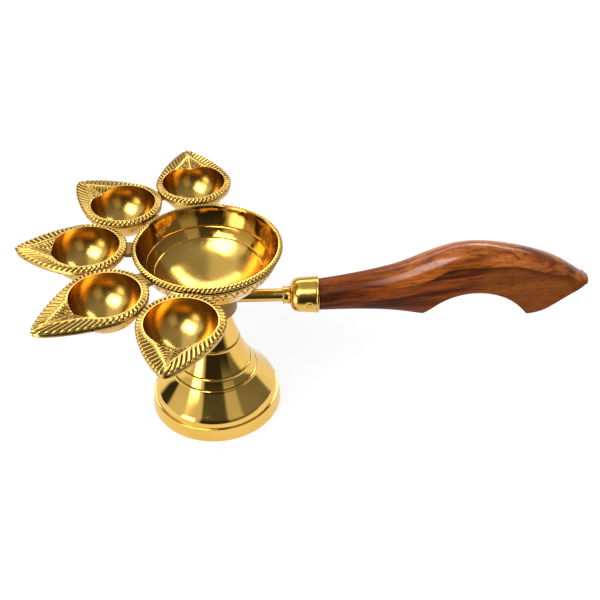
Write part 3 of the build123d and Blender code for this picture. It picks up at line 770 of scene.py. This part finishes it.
def grip_half():
    """One half of the grip, from the middle of the underside to the top of the ridge, as stations by columns.
    The underside is held to the finger arch and the tail, the side is the squarish lower part of the section
    held to the sawn flat, and the ridge is the upper part of an ellipse that stands over the crease. The end
    is drawn in along a circle seen from above. Also gives the marks of the glossy ridge, which also carries
    painted light on the top, and of the painted shadow along the crease."""
    bottom, side, ridge = 14, 24, 36
    quarter = math.pi / 2
    station, under, top, half, square = grip_sections()
    middle = top - np.minimum(half, (top - under) / 2)
    crease_line = spline([(40, 10), (56, 16), (60, 18.6), (68, 20.8), (82, 21.2), (96, 20.7), (106, 17.9),
                          (139.7, 11.6)], 600)
    crease = np.minimum(np.interp(station, crease_line[:, 0], crease_line[:, 1]), top - 2.2)
    arch = ARCH_TOP - ARCH_RADIUS + np.sqrt(np.maximum(ARCH_RADIUS**2 - (station - ARCH_PLACE)**2, 0))
    tail = -TAIL_DROP + (station - TAIL_START) * math.tan(math.radians(TAIL_SLOPE))
    floor = np.maximum(arch, np.where(station > 100, tail, -99))

    def angle_at(height):
        """Angle of the section's point at a height: the arcsine of its share of the half height, below the
        middle to the power of the inverse of how square it is."""
        above = np.arcsin(np.clip((height - middle) / (top - middle), 0, 1))
        below = np.arcsin(np.clip((middle - height) / (middle - under), 0, 1)**(1 / square))
        return np.where(height > middle, above, -below)

    lower = np.where(floor > under, np.maximum(angle_at(np.maximum(floor, under)), -1.2), -1.2)
    upper = np.maximum(angle_at(crease), lower + 0.06)
    angle = np.concatenate([-quarter + (lower + quarter) * np.linspace(0, 1, bottom),
                            lower + 0.02 + (upper - lower - 0.02) * np.linspace(0, 1, side),
                            upper + 0.005 + (quarter - upper - 0.005) * np.linspace(0, 1, ridge)], 1)
    power = np.where(angle < 0, square, 1.0)
    height = np.where(angle < 0, middle - under, top - middle)
    y = half * np.abs(np.cos(angle))**power
    z = np.maximum(middle + height * np.sign(angle) * np.abs(np.sin(angle))**power, floor)

    column = np.arange(angle.shape[1])[None, :]
    on_ridge = column >= bottom + side
    widest = half * np.abs(np.cos(lower))**np.where(lower < 0, square, 1.0)
    y = np.where(column < bottom, np.minimum(y, widest), y)
    sawn = smooth(46, 60, station)
    from_crease = np.abs(crease - z)
    flat_half = FLAT_HALF - 0.55 * np.exp(-(from_crease / 1.3)**2)
    y = np.where(on_ridge, y, np.minimum(y, y + sawn * (flat_half - y)))
    # Painted shadow along the crease
    dark = np.where(on_ridge, np.exp(-(from_crease / 1.0)**2) * 0.7, np.exp(-(from_crease / 2.4)**2))
    dark = sawn * dark * smooth(134, 122, station)
    # Mark of the ridge: its gloss, and painted light on the top
    buffed_and_lit = on_ridge * smooth(15, 62, station)

    end_circle = (GRIP_HALF**2 + END_ROUND**2) / (2 * END_ROUND)
    end = GRIP_LENGTH - NOSE_ROUND - end_circle + np.sqrt(end_circle**2 - np.minimum(y, GRIP_HALF)**2)
    drawn = smooth(108, 135, station)
    x = station * (1 - drawn * (1 - end / GRIP_LENGTH)) - END_SHORT * drawn
    return np.stack([x, y, z], -1), buffed_and_lit, dark


def mirrored(half):
    """Both halves of a grid, joined round: the second runs back, without the two columns on the middle
    plane."""
    return np.concatenate([half, half[:, -2:0:-1]], 1)


def carved_grip():
    """Grip: one half and its mirror image about the middle plane, with a tenon that fills the ferrule and an
    end that is rounded over. Beyond a slanting line the wood is dull, but for the glossy ridge."""
    half, buffed_and_lit, dark = grip_half()
    both = mirrored(half)
    both[:, half.shape[1]:, 1] *= -1
    turn_angle = np.arctan2(both[0, :, 2], both[0, :, 1])
    tenon_start = FERRULE + FERRULE_SHOULDER + FIT_GAP
    tenon_x = np.array([tenon_start, tenon_start, GRIP - 0.2, GRIP - 0.05])[:, None] - GRIP
    tenon_radius = np.array([0.0, TENON, TENON, 7.7])[:, None]
    tenon = np.stack([tenon_x + 0 * turn_angle, tenon_radius * np.cos(turn_angle),
                      tenon_radius * np.sin(turn_angle)], -1)
    last = both[-1]
    level = (last[:, 2].min() + last[:, 2].max()) / 2
    swing = np.radians([30, 55, 75, 88])[:, None]
    nose = np.stack([last[:, 0] + NOSE_ROUND * np.sin(swing), last[:, 1] + 0 * swing,
                     level + (last[:, 2] - level) * np.cos(swing)], -1)
    tip = np.broadcast_to(np.array([last[:, 0].max() + NOSE_ROUND, 0, level]), (1, len(last), 3))
    points = np.concatenate([tenon, both, nose, tip])

    pad_rows = ((len(tenon), len(nose) + 1), (0, 0))
    buffed_and_lit, dark, place = (np.pad(mirrored(mark), pad_rows, mode="edge")
                           for mark in (buffed_and_lit, dark, half[..., 0]))
    flat_from = 72.0 + (points[..., 2] - 7.0) * 0.66
    flat = smooth(-3, 5, place - flat_from) * (1 - buffed_and_lit)
    points = points + np.array([GRIP, 0, AXIS])
    piece("carved_grip", points, grip_wood, "grip_wood", "wooden_handle", sharp=48,
          ridge=buffed_and_lit, crease=dark, flat=flat)


def plain_nodes():
    """Pieces whose solids already have the right shape keep them, with a finish of their own."""
    finishes = {"ferrule_pins": turned_brass, "foot_washer": zinc, "foot_screw": zinc}
    for name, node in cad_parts.items():
        # Painted shade: the webs between the leaves and the bowl take the very dark brass
        finish = shaded_rough_brass if "_web_" in name else finishes.get(name)
        if finish:
            node.data.materials.clear()
            node.data.materials.append(finish)


def white_floor():
    """Pale floor: one square. To the eye and in reflections it is nearly white and keeps the shadow; other
    light meets a plain pale floor. Reflections see no floor far out on the camera's side."""
    reach = 3.0
    corners = [(-reach, -reach, 0), (reach, -reach, 0), (reach, reach, 0), (-reach, reach, 0)]
    mesh = bpy.data.meshes.new("floor")
    mesh.from_pydata(corners, [], [(0, 1, 2, 3)])
    floor = bpy.data.objects.new("floor", mesh)
    floor.location.z = -0.00005
    bpy.context.scene.collection.objects.link(floor)
    paper = Finish(bpy.data.materials.new("white_paper"))
    by_eye, by_mirror, by_glass = (paper.node("ShaderNodeLightPath", {}, {}, ray) for ray in (
        "Is Camera Ray", "Is Glossy Ray", "Is Transmission Ray"))
    seen = (by_eye + by_mirror + by_glass).math("MINIMUM", 1.0)
    mottle = paper.noise(paper.place((9, 9, 9)), detail=2)
    pale = paper.mix(mottle, (0.78, 0.78, 0.78), (0.80, 0.80, 0.80))
    shade = paper.node("ShaderNodeBsdfDiffuse", {}, {"Color": (0.26, 0.26, 0.26, 1)}, "BSDF")
    glow = paper.node("ShaderNodeEmission", {}, {"Color": (0.98, 0.98, 1.0, 1), "Strength": 0.78}, "Emission")
    bright = paper.node("ShaderNodeAddShader", {}, {0: shade, 1: glow})
    plain = paper.node("ShaderNodeBsdfDiffuse", {}, {"Color": pale}, "BSDF")
    surface = paper.node("ShaderNodeMixShader", {}, {0: seen, 1: plain, 2: bright})
    beyond = paper.part_of(paper.place(), "Y").ease(-0.09, -0.16) * by_mirror
    clear = paper.node("ShaderNodeBsdfTransparent", {}, {})
    surface = paper.node("ShaderNodeMixShader", {}, {0: beyond, 1: surface, 2: clear})
    paper.node("ShaderNodeOutputMaterial", {}, {"Surface": surface})
    mesh.materials.append(paper.owner)


def studio_room():
    """World: a dim room by heading from the camera's side and by height, in degrees. On the left stand a pale
    wall and low in it a bright strip, on the right a panel that is pale higher up and then a faint wall. The
    wall behind is pale low down, and the ceiling is paler on the left. It is dark where the camera stands,
    and white where the background shows."""
    degrees = 360 / TURN
    world = bpy.data.worlds.new("studio")
    bpy.context.scene.world = world
    room = Finish(world)
    spot = room.node("ShaderNodeTexCoord", {}, {}, "Generated")
    x, y, z = (room.part_of(spot, axis) for axis in "XYZ")
    heading = x.math("ARCTAN2", y * -1) * degrees
    height = z.math("ARCSINE") * degrees

    def panel(left, right, soft):
        """1 between two headings and 0 outside them."""
        return heading.ease(left - soft, left + soft) * heading.ease(right + soft, right - soft)

    left_wall = panel(-92, -28, 3) * 0.68 + panel(-58, -38, 4) * height.ease(30, 16) * 5.0
    right_wall = panel(21, 49, 3) * height.ease(-6, 20) * 0.5 + panel(49, 112, 4) * 0.16
    back_wall = (1 - panel(-114, 112, 4)) * (height.ease(24, 8) * 0.75 + 0.20)
    walls = left_wall + right_wall + back_wall
    ceiling = x.ease(0.02, -0.05) * 0.40 + 0.20 - panel(-8, 40, 6) * height.ease(68, 60) * 0.15
    up = height.ease(42, 50)
    level = walls * (1 - up) + ceiling * up + height.ease(5, 30) * 0.06 + 0.03
    tint = room.node("ShaderNodeVectorMath", {"operation": "SCALE"}, {"Vector": (1, 1, 1), "Scale": level})
    seen = room.node("ShaderNodeLightPath", {}, {}, "Is Camera Ray")
    colour = room.mix(seen, tint, (1, 1, 1))
    back = room.node("ShaderNodeBackground", {}, {"Color": colour, "Strength": 1.0}, "Background")
    room.node("ShaderNodeOutputWorld", {}, {"Surface": back})


def softbox(name, heading, height, width, tall, glow):
    """Soft rectangular light, placed by its heading from the camera's side and its height in degrees, facing
    the middle of the lamp. Width and tall are in metres, and glow is how bright its face is."""
    middle = Vector((0.03, 0.0, 0.08))
    away = 1.3
    turn, rise = math.radians(heading), math.radians(height)
    out = Vector((math.sin(turn) * math.cos(rise), -math.cos(turn) * math.cos(rise), math.sin(rise)))
    light = bpy.data.lights.new(name, "AREA")
    light.shape = "RECTANGLE"
    light.size = width
    light.size_y = tall
    light.energy = glow * math.pi * width * tall
    box = bpy.data.objects.new(name, light)
    box.location = middle + out * away
    box.rotation_euler = (-out).to_track_quat("-Z", "Y").to_euler()
    bpy.context.scene.collection.objects.link(box)


def photo_camera():
    """Camera at the photograph's place: the eye in millimetres, and tilt, roll and heading in degrees."""
    eye = (25.65, -345.34, 343.74)
    tilt, roll, heading = 51.0873, -0.6225, -2.5675
    view = bpy.data.cameras.new("photo_camera")
    view.sensor_width = 36
    view.lens = 53.52
    view.clip_start = 0.01
    camera = bpy.data.objects.new("photo_camera", view)
    camera.location = Vector(eye) * MM
    camera.rotation_euler = [math.radians(angle) for angle in (tilt, roll, heading)]
    bpy.context.scene.collection.objects.link(camera)
    bpy.context.scene.camera = camera


bowl_with_rope_rim()
leaf_cups()
bell_foot()
round_boss()
brass_rod()
collar_ring()
domed_ferrule()
carved_grip()
plain_nodes()
white_floor()
studio_room()
softbox("back_right_box", heading=145, height=42, width=0.70, tall=0.30, glow=5.0)
softbox("back_box", heading=-172, height=43, width=1.50, tall=0.30, glow=3.4)
softbox("front_left_box", heading=-39, height=52, width=0.86, tall=0.66, glow=7.0)
photo_camera()
bpy.context.scene.view_settings.view_transform = "Standard"
